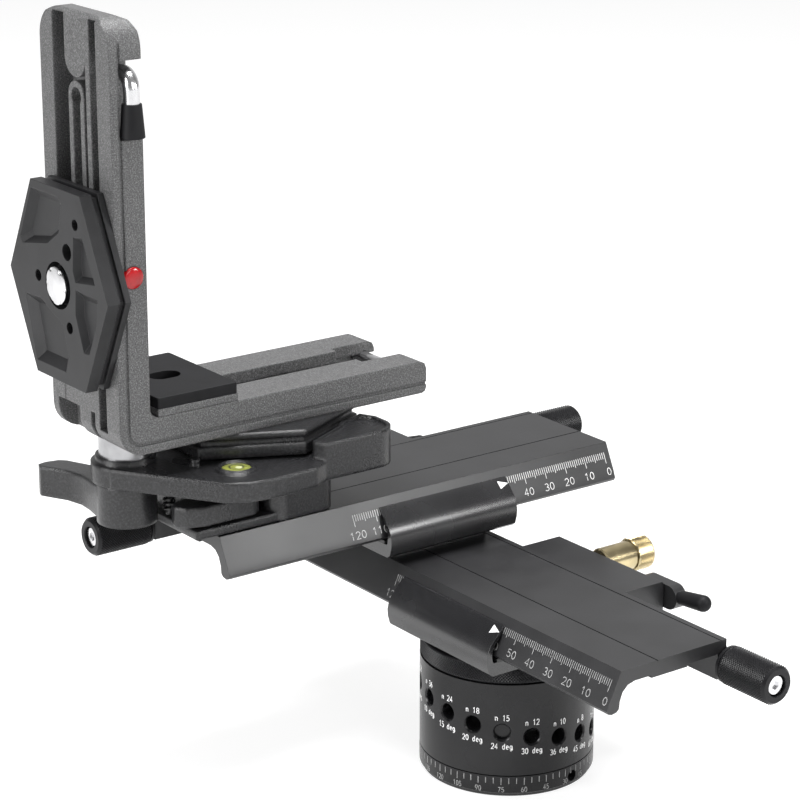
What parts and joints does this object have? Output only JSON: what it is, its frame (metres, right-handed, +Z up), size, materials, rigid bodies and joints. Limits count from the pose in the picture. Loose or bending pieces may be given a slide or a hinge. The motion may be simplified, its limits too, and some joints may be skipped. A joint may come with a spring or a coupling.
{
  "type": "panoramic tripod head",
  "caption": "Panoramic tripod head: click-stop rotator drum, crossed micrometer slide plates, hexagonal quick-release clamp and an L-shaped camera bracket.",
  "frame": {"origin": "mouth of the tripod thread, centre of the foot's underside", "axes": "+Z up along the pan axis, +X along the lower plate to its zero end, +Y along the upper plate to its zero end"},
  "size_m": [0.251, 0.2518, 0.2839],
  "materials": {
    "anodised": "satin black anodised",
    "cast": "granular dark grey powder coat",
    "steel": "plain steel",
    "bright": "bright plated",
    "brass": "polished brass",
    "knurled": "black anodised knurl",
    "rubber": "matt black",
    "glide": "low-friction plastic",
    "vial": "clear yellow-green",
    "red": "plain red"
  },
  "bodies": {
    "foot": {"base_foot": "anodised", "degree_ring": "anodised", "detent_core": "steel", "thrust_washer": "brass", "spindle_nut": "steel"},
    "drum": {"index_drum": "anodised", "drum_screws": "steel", "lower_cradle": "anodised", "lower_box": "anodised", "lower_glides": "glide", "lower_nut_spring": "steel"},
    "lock_ring": {"lock_ring": "knurled"},
    "plunger": {"index_plunger": "anodised", "detent_ball": "steel"},
    "lower_nut": {"lower_nut": "brass"},
    "lower_lever": {"lower_lever": "anodised", "lower_grip": "rubber"},
    "lower_lock": {"lower_lock": "brass"},
    "lower_slide": {"lower_plate": "anodised", "lower_bushes": "brass", "upper_spacer": "anodised", "spacer_screws": "steel", "upper_cradle": "anodised", "upper_box": "anodised", "upper_glides": "glide", "upper_nut_spring": "steel"},
    "lower_screw": {"lower_screw": "steel", "lower_knobs": "knurled", "lower_knob_screws": "bright"},
    "upper_nut": {"upper_nut": "brass"},
    "upper_lever": {"upper_lever": "anodised", "upper_grip": "rubber"},
    "upper_lock": {"upper_lock": "brass"},
    "upper_slide": {"upper_plate": "anodised", "upper_bushes": "brass", "clamp_bolt": "steel", "clamp_washer": "steel", "clamp_base": "cast", "clamp_body": "cast", "level_vial": "vial", "lever_pin": "steel", "catch_spring": "steel", "clamp_hex": "cast", "hex_screw": "steel", "hex_bar": "steel", "l_bracket": "cast", "badge": "red"},
    "upper_screw": {"upper_screw": "steel", "upper_knobs": "knurled", "upper_knob_screws": "bright"},
    "clamp_lever": {"clamp_lever": "cast"},
    "catch": {"catch": "cast"},
    "side_slider": {"side_hex": "cast", "side_screw": "bright"},
    "side_crank": {"side_crank": "bright", "side_grip": "rubber"},
    "arm_crank": {"arm_crank": "bright", "arm_grip": "rubber"},
    "camera_slider": {"camera_plate": "cast", "camera_pad": "rubber"}
  },
  "joints": [
    {"name": "pan", "type": "hinge", "parent": "foot", "child": "drum", "pos_m": [0, 0, 0.02], "axis": [0, 0, 1], "continuous": true},
    {"name": "pan_lock", "type": "hinge", "parent": "drum", "child": "lock_ring", "pos_m": [0, 0, 0.047], "axis": [0, 0, 1], "range_deg": [-40, 0]},
    {"name": "plunger_pull", "type": "slide", "parent": "drum", "child": "plunger", "axis": [0.7455, -0.6665, 0], "range_m": [0, 0.014]},
    {"name": "lower_travel", "type": "slide", "parent": "drum", "child": "lower_slide", "axis": [1, 0, 0], "range_m": [-0.059, 0.059]},
    {"name": "lower_screw_turn", "type": "hinge", "parent": "lower_slide", "child": "lower_screw", "pos_m": [0, 0.0255, 0.06282], "axis": [1, 0, 0], "range_deg": [-10625, 10625]},
    {"name": "lower_release", "type": "hinge", "parent": "drum", "child": "lower_lever", "pos_m": [0.019, 0.0492, 0.06282], "axis": [0, 1, 0], "range_deg": [0, 35]},
    {"name": "lower_nut_draw", "type": "slide", "parent": "drum", "child": "lower_nut", "axis": [0, 1, 0], "range_m": [0, 0.0032]},
    {"name": "lower_lock_turn", "type": "hinge", "parent": "drum", "child": "lower_lock", "pos_m": [-0.007, 0.0492, 0.06432], "axis": [0, 1, 0], "range_deg": [0, 270]},
    {"name": "upper_travel", "type": "slide", "parent": "lower_slide", "child": "upper_slide", "axis": [0, 1, 0], "range_m": [-0.0508, 0.0672]},
    {"name": "upper_screw_turn", "type": "hinge", "parent": "upper_slide", "child": "upper_screw", "pos_m": [-0.0904, 0, 0.08752], "axis": [0, 1, 0], "range_deg": [-9149, 12101]},
    {"name": "upper_release", "type": "hinge", "parent": "lower_slide", "child": "upper_lever", "pos_m": [-0.1141, 0.019, 0.08752], "axis": [-1, 0, 0], "range_deg": [0, 35]},
    {"name": "upper_nut_draw", "type": "slide", "parent": "lower_slide", "child": "upper_nut", "axis": [-1, 0, 0], "range_m": [0, 0.0032]},
    {"name": "upper_lock_turn", "type": "hinge", "parent": "lower_slide", "child": "upper_lock", "pos_m": [-0.1141, -0.007, 0.08902], "axis": [-1, 0, 0], "range_deg": [0, 270]},
    {"name": "clamp_lever_turn", "type": "hinge", "parent": "upper_slide", "child": "clamp_lever", "pos_m": [-0.0684, -0.119, 0.11122], "axis": [0, 0, 1], "range_deg": [0, 80]},
    {"name": "catch_turn", "type": "hinge", "parent": "upper_slide", "child": "catch", "pos_m": [-0.0469, -0.0839, 0.10402], "axis": [0, 0, 1], "range_deg": [0, 20]},
    {"name": "side_travel", "type": "slide", "parent": "upper_slide", "child": "side_slider", "axis": [0, 0, 1], "range_m": [-0.02, 0.03]},
    {"name": "side_crank_turn", "type": "hinge", "parent": "upper_slide", "child": "side_crank", "pos_m": [-0.0649, -0.1279, 0.26502], "axis": [1, 0, 0], "range_deg": [0, 60]},
    {"name": "arm_crank_turn", "type": "hinge", "parent": "upper_slide", "child": "arm_crank", "pos_m": [-0.0649, -0.011, 0.13952], "axis": [1, 0, 0], "range_deg": [0, 60]},
    {"name": "camera_travel", "type": "slide", "parent": "upper_slide", "child": "camera_slider", "axis": [0, 1, 0], "range_m": [0, 0.06]}
  ],
  "couplings": [
    {"joint": "lower_screw_turn", "follows": "lower_travel", "rad_per_m": 3141.6},
    {"joint": "lower_nut_draw", "follows": "lower_release", "m_per_rad": 0.0052385},
    {"joint": "upper_screw_turn", "follows": "upper_travel", "rad_per_m": 3141.6},
    {"joint": "upper_nut_draw", "follows": "upper_release", "m_per_rad": 0.0052385}
  ]
}
